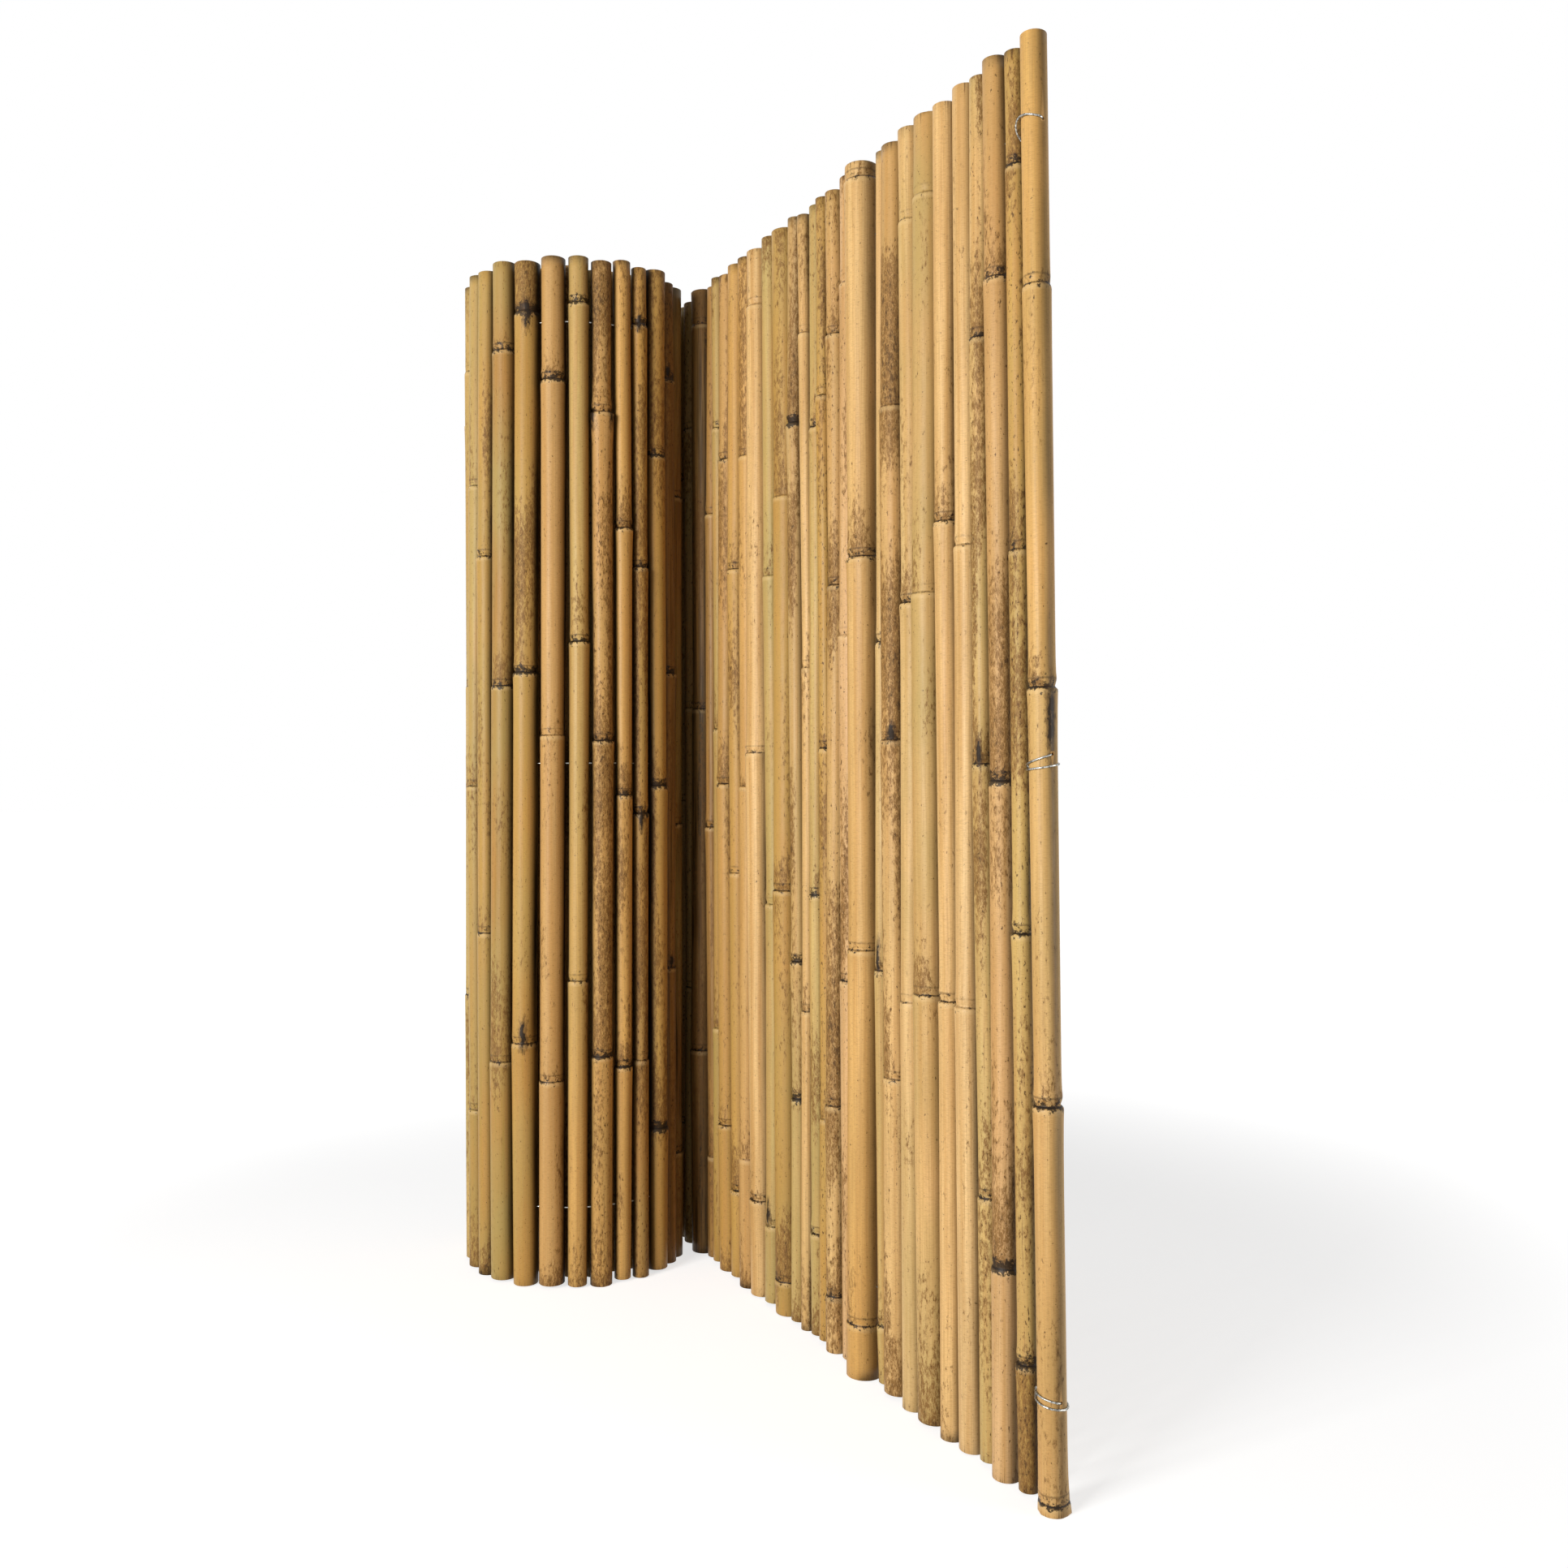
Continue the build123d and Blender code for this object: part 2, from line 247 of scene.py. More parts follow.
# Sawn ends: softened rim, chips and how many there are round it, slant of the cut, and how far in
# the hairline cracks and the stain from the ground reach.
RIM, CHIP, CHIPS_ROUND, SAW_TILT = 0.35 * MM, 1.6 * MM, 9, 0.03
SPLIT, END_STAIN, END_STAIN_MM = 14 * MM, 0.7, 22
CUT_FACES_UP, CUT_DEPTH = 0.7, 4 * MM
HOLLOW_DEPTH, WALL_SHARE = 45 * MM, 0.34
# The shallow groove that a bud leaves along the culm above its ring.
SIDE_GROOVE, GROOVE_NARROW, GROOVE_START_MM, GROOVE_REACH_MM = 1.5 * MM, 20, 6, 170
# Knots left by branches, and how far most of them reach below and above their ring.
KNOT_HEIGHT, KNOT_NARROW, SCAR_DEPTH = 1.2 * MM, 80, 0.7
NO_KNOT, KNOT_UNDER_MM, KNOT_OVER_MM = 0.85, 3, 24
SAWN, HOLLOW = "#CDAA72", "#6F5229"
STRAW, PALE, GOLD, OCHRE, GREEN = "#DDB57A", "#E2BD86", "#D0A15B", "#BA9049", "#C2A668"
PINK, TAN, DRAB, BROWN = "#D3AA79", "#C2985F", "#A5823F", "#99703A"
# Painted shade: the canes deep in the fold between the roll and the sheet get these two dark tones in
# place of their own lighter ones.
FOLD_HALF_SHADE, FOLD_SHADE = "#6B4A22", "#2E1D0C"
# How dark the painted shade is where canes touch, how narrow that strip is, and how much it varies.
SHEET_GAP_SHADE, ROLL_GAP_SHADE, GAP_SHADE_NARROW, GAP_SHADE_SPREAD = 0.85, 1.25, 10, (0.6, 1.1)
# How far tone and marbling drift along a cane, and how many times they change in a metre.
TONE_DRIFT, TONE_CHANGES, MARBLE_CHANGES, MARBLE_ROUND = 0.16, 7, 6, 0.8
DRIFT_MARBLED, DRIFT_ANYWHERE, MOST_MARBLED = 1.2, 0.5, 0.6
SOOT_SPREAD, REACH_SPREAD = (0.4, 1.3), (0.5, 1.6)
# Each cane reads the patterns somewhere else, and past this many mm no ring counts.
READ_APART, FAR_MM = 20, 200
ROLL_CENTRE = Vector((-0.324, -0.0036))

# Foot tone, head tone, olive tint, black dashes, marbling all over, marbling above the rings, how
# many mm that reaches, and soot at the rings.
SHEET_LOOKS = (
    (STRAW, GOLD, 0.25, 0.2, 0.0, 0.5, 70, 0.9), (GREEN, OCHRE, 0.4, 0.9, 0.25, 0.4, 50, 1.15),
    (PINK, TAN, 0.1, 0.5, 0.15, 0.9, 150, 1.15), (GREEN, STRAW, 0.6, 0.6, 0.35, 0.4, 70, 0.6),
    (PALE, STRAW, 0.1, 0.1, 0.0, 0.2, 60, 0.4), (STRAW, STRAW, 0.1, 0.1, 0.0, 0.45, 70, 0.6),
    (STRAW, TAN, 0.6, 0.3, 0.05, 0.3, 60, 0.4), (PALE, STRAW, 0.4, 0.3, 0.05, 0.35, 80, 0.5),
    (STRAW, TAN, 0.2, 0.5, 0.5, 0.6, 120, 0.5), (GREEN, PALE, 0.3, 0.2, 0.05, 0.3, 50, 0.7),
    (GOLD, STRAW, 0.1, 0.2, 0.0, 0.35, 90, 0.6), (PINK, PINK, 0.1, 0.8, 0.2, 0.4, 90, 0.6),
    (STRAW, TAN, 0.3, 0.8, 0.35, 0.5, 80, 0.6), (OCHRE, OCHRE, 0.3, 1.0, 0.2, 0.4, 50, 0.7),
    (GREEN, GREEN, 0.5, 0.4, 0.15, 0.5, 60, 1.0), (STRAW, STRAW, 0.2, 0.3, 0.1, 0.3, 60, 0.5),
    (GREEN, PINK, 0.3, 0.3, 0.2, 0.3, 60, 1.1), (OCHRE, OCHRE, 0.4, 0.2, 0.1, 0.9, 110, 0.5),
    (GREEN, GREEN, 0.6, 0.2, 0.05, 0.3, 60, 0.4), (STRAW, STRAW, 0.05, 0.1, 0.0, 0.25, 60, 0.5),
    (TAN, GOLD, 0.1, 0.3, 0.2, 0.3, 60, 0.5), (OCHRE, GOLD, 0.2, 0.4, 0.1, 0.4, 60, 0.5),
    (OCHRE, TAN, 0.1, 0.4, 0.3, 0.4, 90, 0.6), (DRAB, GREEN, 0.6, 0.3, 0.1, 0.3, 60, 0.5),
    # The last two canes stand in the fold by the roll, and their tones are painted shade.
    (FOLD_HALF_SHADE, BROWN, 0.1, 0.5, 0.2, 0.3, 60, 0.5), (FOLD_SHADE, FOLD_SHADE, 0.1, 0.3, 0.2, 0.4, 60, 0.5),
)
ROLL_LOOKS = (
    (GREEN, GREEN, 0.7, 0.4, 0.15, 0.4, 60, 0.6), (DRAB, GREEN, 0.5, 0.3, 0.1, 0.3, 60, 0.6),
    (DRAB, OCHRE, 0.5, 0.4, 0.15, 0.4, 60, 0.9), (DRAB, BROWN, 0.7, 0.3, 0.15, 0.3, 40, 0.7),
    (OCHRE, OCHRE, 0.4, 0.3, 0.2, 0.5, 60, 1.1), (TAN, TAN, 0.05, 0.2, 0.05, 0.5, 60, 0.8),
    (GOLD, GREEN, 0.3, 0.2, 0.05, 0.3, 60, 0.7), (GOLD, TAN, 0.2, 0.9, 0.35, 0.8, 160, 0.9),
    (GOLD, GOLD, 0.1, 0.2, 0.05, 0.6, 70, 0.8), (BROWN, OCHRE, 0.3, 0.8, 0.5, 0.6, 120, 1.0),
    # The twelfth and thirteenth canes face the fold, and their tones are painted shade.
    (OCHRE, OCHRE, 0.2, 0.3, 0.25, 0.6, 90, 1.0), (FOLD_HALF_SHADE, FOLD_SHADE, 0.1, 0.6, 0.3, 0.8, 90, 1.0),
    (FOLD_SHADE, FOLD_SHADE, 0.5, 0.4, 0.2, 0.4, 60, 0.8),
)
# Rings where a branch stub was trimmed off: ring from the foot, its side in degrees, and how far
# the black scar reaches below and above the ring in mm.
BRANCH_STUBS = {
    "cane_01": ((1, -8, 60, 6),),
    "cane_04": ((1, -60, 4, 24),),
    "cane_09": ((1, -50, 4, 20),),
    "cane_10": ((1, -70, 4, 30),),
    "cane_19": ((0, -75, 2, 30),),
    "roll_cane_05": ((0, -25, 10, 30), (2, -20, 24, 20)),
    "roll_cane_08": ((2, 34, 20, 6), (2, -70, 20, 6)),
    "roll_cane_10": ((1, -15, 22, 10), (3, -20, 12, 14)),
    "roll_cane_12": ((0, 10, 3, 20), (2, 0, 2, 20)),
}
# A ring that stands out much more than the others, counted from the foot.
BOLD_RINGS, BOLDEST = {"roll_cane_08": 2}, 3.5
# Canes that are browner, and marbled all over, below their first ring.
BROWN_FEET = {"cane_02": (DRAB, 0.75)}
# A ring right at the sawn foot, its height in mm, where the cut wood also splays out.
FOOT_RINGS, FOOT_RING_SOOT, FOOT_RING_REACH_MM = {"cane_01": 9}, 0.8, 90
FOOT_FLARE, FLARE_MM, FLARE_SIDE = 2.4 * MM, 16, 0.2
# Canes out of sight draw their two tones, then the rest of their look, from these.
HIDDEN_TONES = (STRAW, GOLD, OCHRE, TAN, STRAW, GREEN, PINK)
HIDDEN_SPANS = ((0, 0.6), (0.2, 0.8), (0, 0.3), (0.2, 0.8), (40, 120), (0.4, 1))


def culms(node):
    """The canes of a CAD node, each as its levels from foot to head: height, centre and radius."""
    bm = bmesh.new()
    bm.from_mesh(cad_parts[node].data)
    bmesh.ops.remove_doubles(bm, verts=bm.verts, dist=1e-6)
    found, seen = [], set()
    for start in bm.verts:
        if start in seen:
            continue
        heights, todo = {}, [start]
        seen.add(start)
        while todo:
            v = todo.pop()
            heights.setdefault(round(v.co.z, 5), []).append(v.co.copy())
            for edge in v.link_edges:
                other = edge.other_vert(v)
                if other not in seen:
                    seen.add(other)
                    todo.append(other)
        levels = []
        for z in sorted(heights):
            if len(heights[z]) >= 8:
                centre = sum(heights[z], Vector()) / len(heights[z])
                reach = max((co - centre).length for co in heights[z])
                levels.append((z, centre.x, centre.y, reach))
        if len(levels) > 1:
            found.append(levels)
    bm.free()
    return found


def between(levels, z):
    """Centre and radius of a cane at a height."""
    for low, high in zip(levels, levels[1:]):
        if z <= high[0]:
            share = max(0, (z - low[0]) / (high[0] - low[0]))
            return [a + (b - a) * share for a, b in zip(low[1:], high[1:])]
    return levels[-1][1:]


def outline(levels, rings, bold):
    """Outline of a cane, from the floor of its lower hollow to that of its upper one."""
    foot, head = levels[0][0], levels[-1][0]
    rows = {foot + RIM: 0, foot + SPLIT: 0, head - SPLIT: 0, head - RIM: 0}
    for ring, z in enumerate(rings):
        for offset, swell in RING_SHAPE_MM:
            at = z + offset * MM
            if foot + 3 * RIM < at < head - 3 * RIM:
                rows[at] = swell * MM * bold[ring]
    for low, high in zip(rings, rings[1:]):
        rows[(low + high) / 2 - HAIR] = 0
        rows[(low + high) / 2 + HAIR] = 0
    heights = sorted(rows)
    for low, high in zip(heights, heights[1:]):
        extra = int((high - low) / ROW_SPACING)
        for i in range(extra):
            rows[low + (high - low) * (i + 1) / (extra + 1)] = 0
    wall = [(z, between(levels, z)[2] - SKIN_INSET + rows[z]) for z in sorted(rows)]
    hollow = levels[1][3] * (1 - WALL_SHARE)
    low_floor, high_floor = foot + HOLLOW_DEPTH, head - HOLLOW_DEPTH
    start = [(low_floor, 0), (low_floor, hollow), (foot, hollow), (foot, wall[0][1] - RIM)]
    end = [(head, wall[-1][1] - RIM), (head, hollow), (high_floor, hollow), (high_floor, 0)]
    return start + wall + end


def spin_culm(bm, outlined, steps):
    """Spins a cane's outline about its own axis, and gives the new vertices and faces."""
    points = [bm.verts.new((r, 0, z)) for z, r in outlined]
    edges = [bm.edges.new(pair) for pair in zip(points, points[1:])]
    older = set(bm.faces)
    bmesh.ops.spin(
        bm, geom=points + edges, axis=(0, 0, 1), cent=(0, 0, 0), steps=steps, angle=math.tau,
        use_merge=True,
    )
    faces = [f for f in bm.faces if f not in older]
    verts = list({v for f in faces for v in f.verts})
    poles = [v for v in verts if math.hypot(v.co.x, v.co.y) < 1e-6]
    bmesh.ops.remove_doubles(bm, verts=poles, dist=1e-6)
    return [v for v in verts if v.is_valid], [f for f in faces if f.is_valid]


def add_cane(bm, levels, look, steps, draw, straight, node):
    """Makes one cane, bends it over its rings and stores what its material reads."""
    rings = [(a[0] + b[0]) / 2 for a, b in zip(levels[1:-1:2], levels[2:-1:2])]
    foot, head = levels[0][0], levels[-1][0]
    stubs, foot_ring = BRANCH_STUBS.get(node, ()), FOOT_RINGS.get(node, 0)
    if foot_ring:
        rings.insert(0, foot + foot_ring * MM)
        stubs = [(ring + 1, *rest) for ring, *rest in stubs]
    bold = [FAINTEST + BOLDER * draw.random() ** MOSTLY_FAINT for _ in rings]
    if node in BOLD_RINGS:
        bold[BOLD_RINGS[node]] = BOLDEST
    verts, faces = spin_culm(bm, outline(levels, rings, bold), steps)
    colour, number = bm.verts.layers.float_color["skin"], bm.verts.layers.float
    foot_tone, head_tone, olive_share, dashes, all_over, by_rings, fade_mm, soot_share = look
    low_tone, high_tone = Vector(linear(foot_tone)), Vector(linear(head_tone))
    cx, cy, _ = between(levels, foot)
    rolled = Vector((cx, cy)) - ROLL_CENTRE
    along = 0 if straight else math.atan2(rolled.y, rolled.x) + math.pi / 2
    # How dark this cane's painted shade between canes is.
    gap_shade_depth = (SHEET_GAP_SHADE if straight else ROLL_GAP_SHADE) * draw.uniform(*GAP_SHADE_SPREAD)
    lean, saw = draw.uniform(0, math.tau), draw.uniform(0, math.tau)
    grooves = [(draw.uniform(0, math.tau), draw.random() ** 2) for _ in range(len(rings) + 1)]
    knots = [(ring, math.radians(degrees), under, over) for ring, degrees, under, over in stubs]
    for ring in range(len(rings)):
        turn, large = draw.uniform(0, math.tau), draw.random() > NO_KNOT
        if large:
            knots.append((ring, turn, KNOT_UNDER_MM, KNOT_OVER_MM))
    foot_stain, head_stain = (draw.uniform(-END_STAIN, END_STAIN) for _ in range(2))
    marks = [draw.uniform(*SOOT_SPREAD) for _ in rings]
    reaches = [fade_mm * draw.uniform(*REACH_SPREAD) for _ in rings]
    if foot_ring:
        marks[0], reaches[0] = FOOT_RING_SOOT, FOOT_RING_REACH_MM
    turns = [draw.uniform(0, math.tau) for _ in range(len(rings) + 1)]
    apart = draw.uniform(0, READ_APART)
    hollow = levels[1][3] * (1 - WALL_SHARE) + 1e-5
    for v in verts:
        x, y, z = v.co
        r, angle = math.hypot(x, y), math.atan2(y, x)
        up = (z - foot) / (head - foot)
        cx, cy, _ = between(levels, z)
        v[number["own"]] = apart
        v[number["from_ring"]] = FAR_MM
        if r < hollow:
            v[colour] = linear(HOLLOW)
            v.co = (cx + x, cy + y, z)
            continue
        if z <= foot or z >= head:
            v[colour] = linear(SAWN)
        else:
            drift = noise.noise((apart + 5, z * TONE_CHANGES, math.cos(angle - lean)))
            shade = 1 + TONE_DRIFT * drift
            v[colour] = low_tone.lerp(high_tone, up) * shade
            if node in BROWN_FEET and z < rings[0]:
                v[colour] = Vector(linear(BROWN_FEET[node][0])) * shade
        v[number["olive"]] = olive_share
        v[number["split"]] = max(0, 1 - min(z - foot, head - z) / SPLIT)
        v[number["dashed"]] = dashes
        # Painted shade along the sides that face the neighbouring canes.
        v[number["painted_gap_shade"]] = gap_shade_depth * math.cos(angle - along) ** GAP_SHADE_NARROW
        # Marbling: the cane's own share, more above each ring and at stained ends, and drifting.
        mottle = all_over
        below = sum(1 for ring in rings if z > ring)
        side = math.cos(angle - turns[below]) * MARBLE_ROUND
        drift = noise.noise((apart, z * MARBLE_CHANGES, side))
        if node in BROWN_FEET and not below:
            mottle += BROWN_FEET[node][1]
        if below:
            offset = (z - rings[below - 1]) / MM
            fade = max(0, 1 - offset / reaches[below - 1])
            mottle += by_rings * marks[below - 1] * fade
            turn, depth = grooves[below]
            dent = depth * max(0, 1 - offset / GROOVE_REACH_MM) * min(1, offset / GROOVE_START_MM)
            r -= SIDE_GROOVE * dent * max(0, math.cos((angle - turn) / 2)) ** GROOVE_NARROW
        mottle += max(0, foot_stain) * math.exp((foot - z) / MM / END_STAIN_MM)
        mottle += max(0, head_stain) * math.exp((z - head) / MM / END_STAIN_MM)
        mottle += DRIFT_MARBLED * all_over * drift + DRIFT_ANYWHERE * drift
        v[number["marbled"]] = min(MOST_MARBLED, max(0, mottle))
        # Nearest ring, its soot, and the knots that stand on it.
        if rings:
            i = min(range(len(rings)), key=lambda k: abs(z - rings[k]))
            offset = (z - rings[i]) / MM
            v[number["from_ring"]] = max(-FAR_MM, min(FAR_MM, offset))
            v[number["sooty"]] = soot_share * marks[i]
            for ring, turn, under, over in knots:
                if ring == i and -under < offset < over:
                    narrow = max(0, math.cos((angle - turn) / 2)) ** KNOT_NARROW
                    rise = math.sin(math.pi * (offset + under) / (over + under))
                    lump = narrow * rise ** 0.5
                    v[number["scar"]] += SCAR_DEPTH * lump
                    r += KNOT_HEIGHT * lump
        # The culm is slightly oval, and its ends are sawn aslant and a little ragged.
        r *= 1 - OUT_OF_ROUND * (1 - math.cos(2 * (angle - lean))) / 2
        round_cut = CHIPS_ROUND * math.cos(angle), CHIPS_ROUND * math.sin(angle)
        chip = max(0, noise.noise((apart, *round_cut)))
        if foot_ring:
            splay = chip + max(0, math.sin(angle - FLARE_SIDE))
            r += FOOT_FLARE * math.exp((foot - z) / MM / FLARE_MM) * splay
        tilt = r * SAW_TILT * (math.cos(angle - saw) + 1) + CHIP * chip
        if z <= foot:
            z += tilt
        elif z >= head:
            z -= tilt
        v.co = (cx + r * math.cos(angle), cy + r * math.sin(angle), z)
    for face in faces:
        face.normal_update()
        at = face.calc_center_median()
        cx, cy, _ = between(levels, at.z)
        inside = math.hypot(at.x - cx, at.y - cy) < hollow
        cut = abs(face.normal.z) > CUT_FACES_UP and min(at.z - foot, head - at.z) < CUT_DEPTH
        face.material_index = int(inside or cut)
        face.smooth = not cut


STRAIGHT_CANES = 29
DRILLED, HOLE_RADIUS, HOLE_SIDES, RIM_TONE = "cane_01", 1.3 * MM, 12, "#C99C62"
SHARP = math.radians(50)
WIRE_HEIGHTS = (92 * MM, 617.5 * MM, 1143 * MM)
# The order in which the groups are made, and the first seed of each.
FIRST_SEEDS = {"cane": 0, "rear": 100, "roll": 200, "inner": 300}
cane_axes = []
bamboo = [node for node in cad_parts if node.split("_")[0] in FIRST_SEEDS]
for node in sorted(bamboo, key=lambda n: (FIRST_SEEDS[n.split("_")[0]], n)):
    group, place_in_group = node.split("_")[0], int(node.split("_")[-1])
    draw = random.Random(FIRST_SEEDS[group] + place_in_group)
    bm = bmesh.new()
    bm.verts.layers.float_color.new("skin")
    for mark in MARKS:
        bm.verts.layers.float.new(mark)
    for levels in culms(node):
        cane_axes.append(levels)
        if group == "cane" and place_in_group <= len(SHEET_LOOKS):
            look = SHEET_LOOKS[place_in_group - 1]
        elif group == "roll":
            look = ROLL_LOOKS[place_in_group - 1]
        else:
            tones = [draw.choice(HIDDEN_TONES) for _ in range(2)]
            look = (*tones, *(draw.uniform(*span) for span in HIDDEN_SPANS))
        steps = INNER_STEPS if group == "inner" else CANE_STEPS
        add_cane(bm, levels, look, steps, draw, group == "cane", node)
    bmesh.ops.recalc_face_normals(bm, faces=bm.faces)
    mesh = bpy.data.meshes.new(node + "_bamboo")
    bm.to_mesh(mesh)
    bm.free()
    mesh.materials.append(skin_material)
    mesh.materials.append(end_material)
    piece = bpy.data.objects.new(node + "_bamboo", mesh)
    bpy.context.scene.collection.objects.link(piece)
    if node == DRILLED:
        bm = bmesh.new()
        for height in WIRE_HEIGHTS:
            x, y, radius = between(levels, height)
            lie = Matrix.Translation((x, y, height)) @ Matrix.Rotation(math.pi / 2, 4, "Y")
            bmesh.ops.create_cone(
                bm, cap_ends=True, segments=HOLE_SIDES, radius1=HOLE_RADIUS, radius2=HOLE_RADIUS,
                depth=3 * radius, matrix=lie,
            )
        holes = bpy.data.objects.new("holes", bpy.data.meshes.new("holes"))
        bm.to_mesh(holes.data)
        bm.free()
        bpy.context.scene.collection.objects.link(holes)
        piece.modifiers.new("drill", "BOOLEAN").object = holes
        drilled = piece.evaluated_get(bpy.context.evaluated_depsgraph_get())
        piece.data = bpy.data.meshes.new_from_object(drilled)
        piece.modifiers.clear()
        # The vertices that the drill added carry no marks yet.
        attributes = piece.data.attributes
        for i, shifted in enumerate(attributes["own"].data):
            if shifted.value == 0:
                attributes["skin"].data[i].color = linear(RIM_TONE)
                attributes["from_ring"].data[i].value = FAR_MM
        piece.data.set_sharp_from_angle(angle=SHARP)
        bpy.data.objects.remove(holes)
    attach(piece, "root")
    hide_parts(node)

# The wires: soft galvanised steel, threaded through a drilled hole in every cane and bent back
# round the end cane. The zinc has dulled to an uneven grey.
# Real spangle on so thin a wire is finer, and is drawn as coarse as it needs to show.
SPANGLE_MM = 1.5
ZINC_LIGHT, ZINC_DULL = "#C6C5BE", "#74726C"
zinc, nt = new_material("galvanised wire")
coords = add_node(nt, "TexCoord", {}, "Object")
spangle = add_node(nt, "TexNoise", {"Vector": coords, "Scale": 1000 / SPANGLE_MM, "Detail": 3})
share = add_node(nt, "MapRange", {"Value": spangle, "From Min": 0.4, "From Max": 0.6})
colour = add_node(
    nt, "Mix", {0: share, 6: linear(ZINC_DULL), 7: linear(ZINC_LIGHT)}, 2, data_type="RGBA"
)
rough = add_node(nt, "MapRange", {"Value": spangle, "To Min": 0.18, "To Max": 0.42})
surface = add_node(nt, "BsdfPrincipled", {"Base Color": colour, "Roughness": rough, "Metallic": 1.0})
add_node(nt, "OutputMaterial", {"Surface": surface})

# Each wire runs from the heart of the roll to the free end, then round the end cane: angle from
# its outer side, positive behind, height above the drilled hole, and slack off the cane, both in mm.
WIRE_RADIUS, TIE_SLACK, STUB = 0.9 * MM, 0.2 * MM, 14 * MM
# The winding, as in the CAD: how far each turn steps inwards, and how late in the turn it does so.
ROLL_RADIUS, TURN_STEP, JOG_START, EARLY_SHARE = 136 * MM, 32 * MM, 0.8, 0.25
WIRE_TIES = {
    "lower_wire": (WIRE_HEIGHTS[0], (
        (-35, 2, 0), (-75, 3.5, 0), (-115, 5, 0), (-152, 5, 1), (-165, 3, 1.5), (-152, 0, 1),
        (-115, -1, 0), (-75, -2.5, 0), (-35, -4, 0), (15, -6, 0), (60, -6.5, 0), (100, -5, 0),
        (135, -3.5, 0),
    )),
    "middle_wire": (WIRE_HEIGHTS[1], (
        (-35, -2.5, 0), (-75, -5.5, 0), (-115, -8, 0), (-150, -9, 1), (-165, -11, 1.5), (-152, -13, 1),
        (-115, -13, 0), (-75, -12, 0), (-35, -11, 0), (15, -9, 0), (60, -8, 0), (100, -7, 0),
        (135, -6, 0),
    )),
    "upper_wire": (WIRE_HEIGHTS[2], (
        (-35, 2, 0), (-75, 4.5, 0), (-108, 5, 0.5), (-126, 2.5, 2), (-138, -1.5, 2.5), (-152, -6, 2),
        (-168, -9, 1),
    )),
}


def swept(centre):
    """Angle that the winding has turned through where a cane's centre lies."""
    away = centre - ROLL_CENTRE
    part = (math.atan2(away.y, away.x) - math.pi / 2) % math.tau / math.tau
    late = min(max((part - JOG_START) / (1 - JOG_START), 0), 1)
    inwards = EARLY_SHARE * part + (1 - EARLY_SHARE) * late * late * (3 - 2 * late)
    return math.tau * (round((ROLL_RADIUS - away.length) / TURN_STEP - inwards) + part)


for node, (height, tie) in WIRE_TIES.items():
    centres = [Vector(between(levels, height)[:2]) for levels in cane_axes]
    drawn_out = sorted(centres[:STRAIGHT_CANES], key=lambda c: -c.x)
    rolled = sorted(centres[STRAIGHT_CANES:], key=swept)
    end, reach = drawn_out[0], between(cane_axes[0], height)[2] + WIRE_RADIUS + TIE_SLACK
    route = []
    for turn, rise, off in reversed(tie):
        turn, out = math.radians(turn), reach + off * MM
        side = Vector((math.cos(turn), math.sin(turn))) * out
        route.append((end.x + side.x, end.y + side.y, height + rise * MM))
    route.append((end.x + reach, end.y, height))
    route += [(c.x, c.y, height) for c in drawn_out + rolled]
    last = Vector(route[-1]) + (Vector(route[-1]) - Vector(route[-2])).normalized() * STUB
    route.append(tuple(last))
    curve = bpy.data.curves.new(node + "_drawn", "CURVE")
    curve.dimensions = "3D"
    curve.bevel_depth = WIRE_RADIUS
    curve.bevel_resolution = 2
    curve.use_fill_caps = True
    spline = curve.splines.new("NURBS")
    spline.points.add(len(route) - 1)
    for point, at in zip(spline.points, route):
        point.co = (*at, 1)
    spline.order_u = 3
    spline.use_endpoint_u = True
    spline.resolution_u = 3
    drawn = bpy.data.objects.new(node + "_drawn", curve)
    bpy.context.scene.collection.objects.link(drawn)
    mesh = bpy.data.meshes.new_from_object(drawn.evaluated_get(bpy.context.evaluated_depsgraph_get()))
    bpy.data.objects.remove(drawn)
    mesh.materials.clear()
    mesh.materials.append(zinc)
    piece = bpy.data.objects.new(node + "_drawn", mesh)
    bpy.context.scene.collection.objects.link(piece)
    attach(piece, "root")
    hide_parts(node)

# The camera stands at the photo's viewpoint, at the middle of the fence's height and nearly level.
# It is to the right of the roll, with the free end of the sheet coming towards it.
EYE = Vector((1.3580, -0.5733, 0.5967))
SIGHT = Vector((-0.89006, 0.45584, 0))
TIP_UP, TURN = math.radians(0.543), math.radians(-0.16)
IMAGE_PIXELS, FOCAL_PIXELS, SENSOR = 1932, 1688, 36.0
CENTRE_ROW = 945.2

aim = (SIGHT.normalized() * math.cos(TIP_UP) + Vector((0, 0, math.sin(TIP_UP)))).normalized()
camera = bpy.data.objects.new("camera", bpy.data.cameras.new("camera"))
camera.data.sensor_width = SENSOR
camera.data.lens = FOCAL_PIXELS / IMAGE_PIXELS * SENSOR
camera.data.shift_y = (CENTRE_ROW - IMAGE_PIXELS / 2) / IMAGE_PIXELS
camera.location = EYE
camera.rotation_mode = "QUATERNION"
camera.rotation_quaternion = aim.to_track_quat("-Z", "Y") @ Quaternion((0, 0, 1), TURN)
bpy.context.scene.collection.objects.link(camera)
bpy.context.scene.camera = camera

# The floor is matt white studio paper that runs out of sight. It keeps the fence's shadow, and away
# from the fence its own glow, which only shows to the camera and in gloss, turns it to plain white.
FLOOR_SIZE = 60
PAPER, WHITE = "#CCCCCC", "#FFFFFF"
# The shadow shows within the nearer distance, and is gone at the further one.
SHADOW_REACH, GLOW = (0.75, 1.7), 0.69


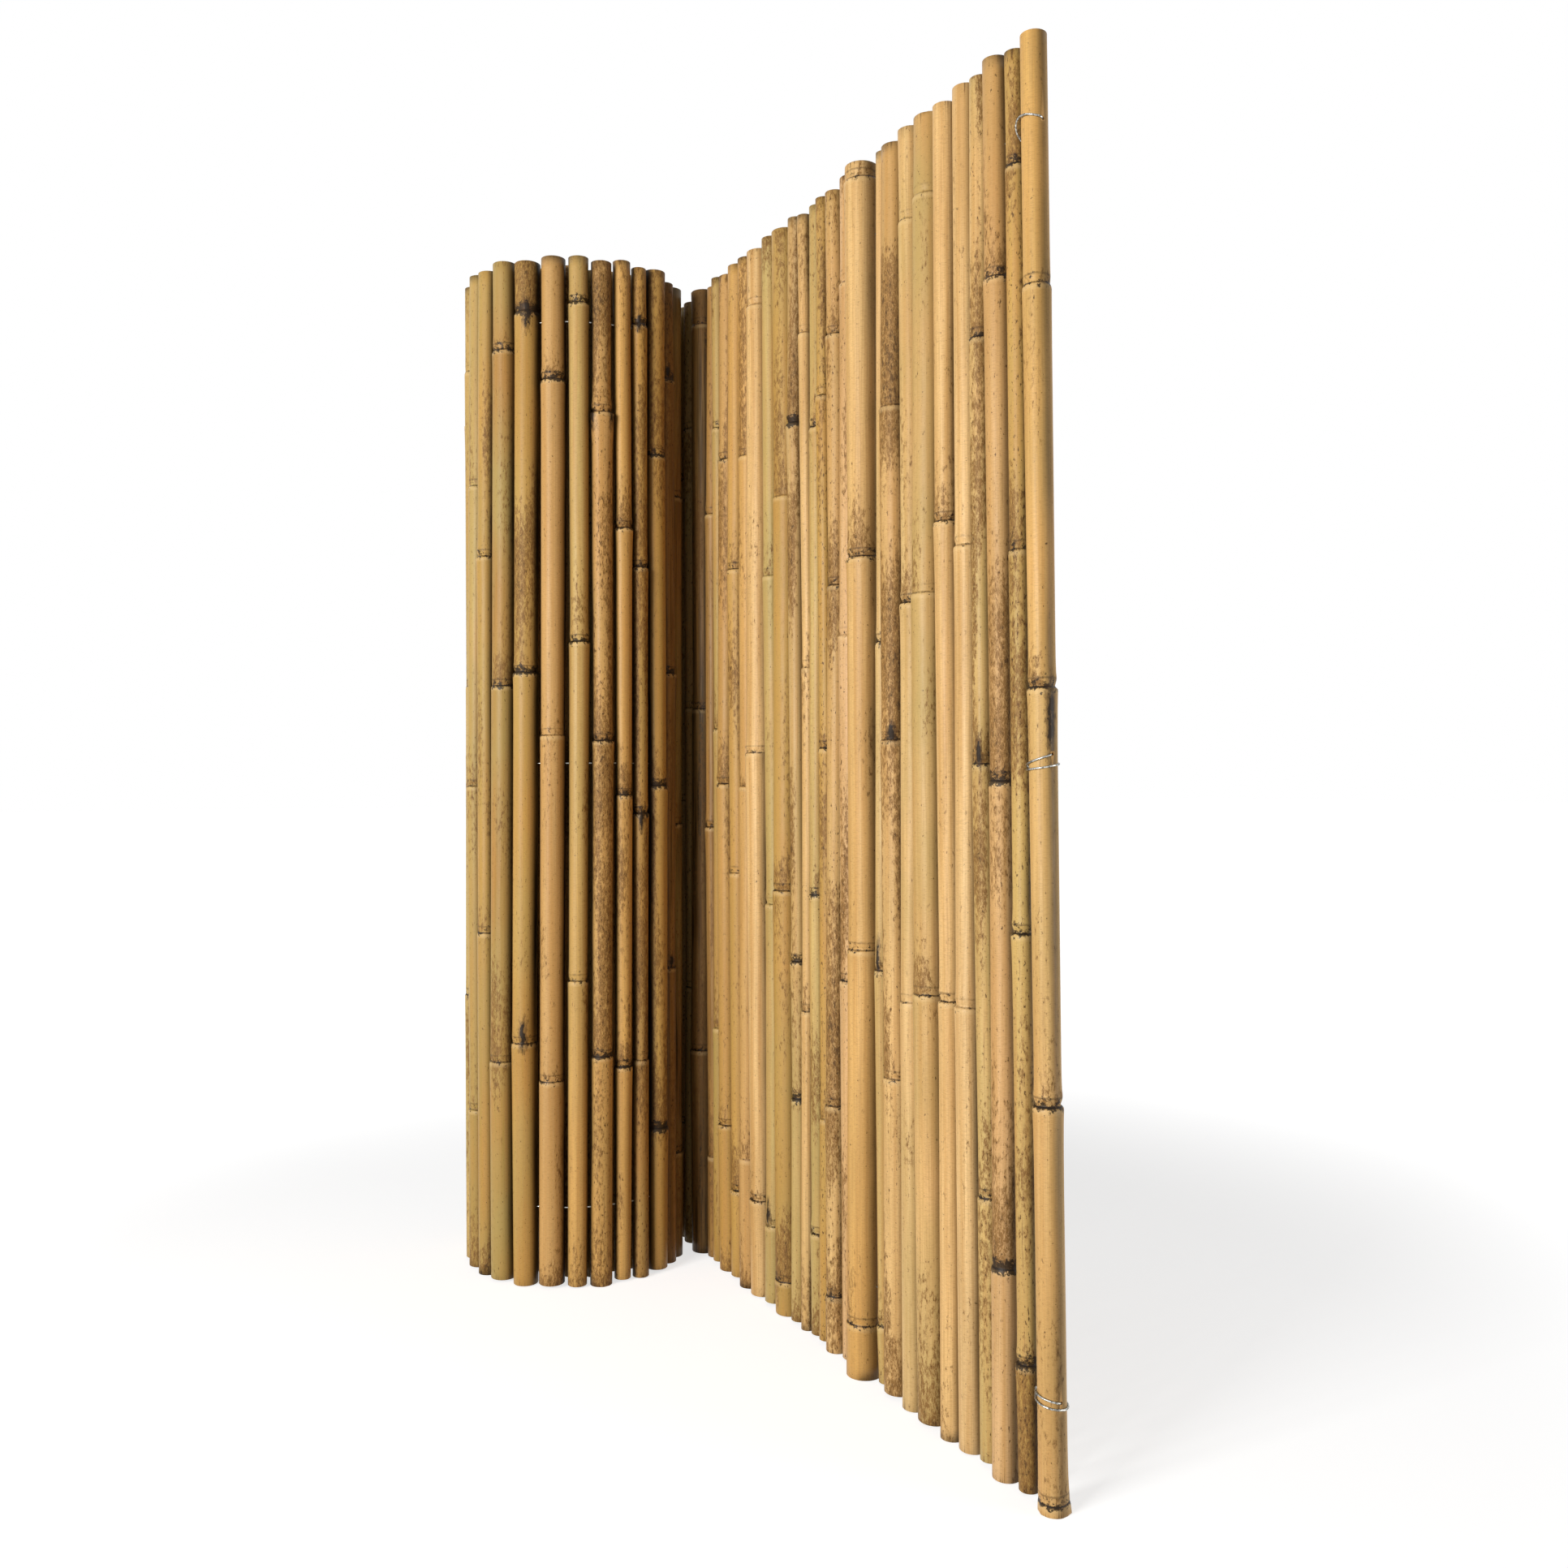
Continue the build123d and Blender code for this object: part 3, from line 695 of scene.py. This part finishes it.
def seen_or_mirrored(nodes):
    """1 for what the camera sees, directly, in gloss or through glass, and 0 for other light."""
    seen = add_node(nodes, "LightPath", {}, "Is Camera Ray")
    in_gloss = add_node(nodes, "LightPath", {}, "Is Glossy Ray")
    in_glass = add_node(nodes, "LightPath", {}, "Is Transmission Ray")
    seen = add_node(nodes, "Math", {0: seen, 1: in_gloss}, operation="MAXIMUM")
    return add_node(nodes, "Math", {0: seen, 1: in_glass}, operation="MAXIMUM")


bm = bmesh.new()
bmesh.ops.create_grid(bm, x_segments=1, y_segments=1, size=FLOOR_SIZE / 2)
floor_mesh = bpy.data.meshes.new("floor")
bm.to_mesh(floor_mesh)
bm.free()
floor = bpy.data.objects.new("floor", floor_mesh)
floor.location = (0, 0, cad_low[2])
bpy.context.scene.collection.objects.link(floor)
paper, nt = new_material("white paper")
coords = add_node(nt, "TexCoord", {}, "Object")
reach = add_node(nt, "VectorMath", {0: coords}, "Value", operation="LENGTH")
near_far = {
    "Value": reach, "From Min": SHADOW_REACH[0], "From Max": SHADOW_REACH[1],
    "To Min": GLOW, "To Max": 1.0,
}
glow = add_node(nt, "MapRange", near_far, interpolation_type="SMOOTHSTEP")
shown = seen_or_mirrored(nt)
glow = add_node(nt, "Math", {0: glow, 1: shown}, operation="MULTIPLY")
matt = add_node(nt, "BsdfDiffuse", {"Color": linear(PAPER)})
white = add_node(nt, "Emission", {"Color": linear(WHITE), "Strength": glow})
both = add_node(nt, "AddShader", {0: matt, 1: white})
add_node(nt, "OutputMaterial", {"Surface": both})
floor_mesh.materials.append(paper)

# Studio light: a large soft box left of the camera, a weak one low on the right that reaches the
# edge of the end cane, and a little fill from the white room.
ROOM_FILL = 0.14
world = bpy.data.worlds.new("studio")
bpy.context.scene.world = world
world.use_nodes = True
nt = world.node_tree.nodes
nt.clear()
shown = seen_or_mirrored(nt)
strength = add_node(nt, "MapRange", {"Value": shown, "To Min": ROOM_FILL, "To Max": 1.0})
sky = add_node(nt, "Background", {"Color": linear(WHITE), "Strength": strength})
add_node(nt, "OutputWorld", {"Surface": sky})

# Place, aim, size and power of each soft box.
SOFT_BOXES = {
    "key": ((1.18, -2.97, 1.05), (0, 0, 0.55), 1.3, 124),
    "fill": ((2.2, 1.6, 0.45), (0.46, 0.13, 0.6), 1.0, 24),
}
for name, (place, aimed_at, size, power) in SOFT_BOXES.items():
    lamp = bpy.data.objects.new(name, bpy.data.lights.new(name, "AREA"))
    lamp.data.size = size
    lamp.data.energy = power
    lamp.location = place
    lamp.rotation_mode = "QUATERNION"
    lamp.rotation_quaternion = (Vector(aimed_at) - Vector(place)).to_track_quat("-Z", "Y")
    bpy.context.scene.collection.objects.link(lamp)

bpy.context.scene.view_settings.view_transform = "Standard"
